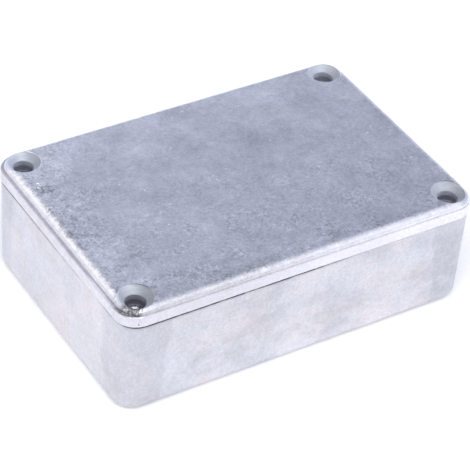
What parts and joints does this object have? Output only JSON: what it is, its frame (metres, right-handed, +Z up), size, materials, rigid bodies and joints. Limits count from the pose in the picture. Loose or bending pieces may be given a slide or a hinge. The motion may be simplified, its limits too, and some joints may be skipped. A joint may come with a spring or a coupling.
{
  "type": "die cast aluminium box",
  "caption": "Small rectangular die cast aluminium box: an open base with corner bosses and a loose lid with countersunk corner holes.",
  "frame": {"origin": "middle of the underside, on the surface that the box stands on", "axes": "+X along the length, +Y along the width, +Z up through the lid"},
  "size_m": [0.098, 0.067, 0.0314],
  "materials": {
    "base_casting": "as cast, tumbled, pale satin grey with faint clouding",
    "lid_casting": "as cast, blue grey and mottled on top, brighter where the edge is rubbed"
  },
  "bodies": {
    "root": {"base": "base_casting", "lid": "lid_casting"}
  },
  "joints": []
}
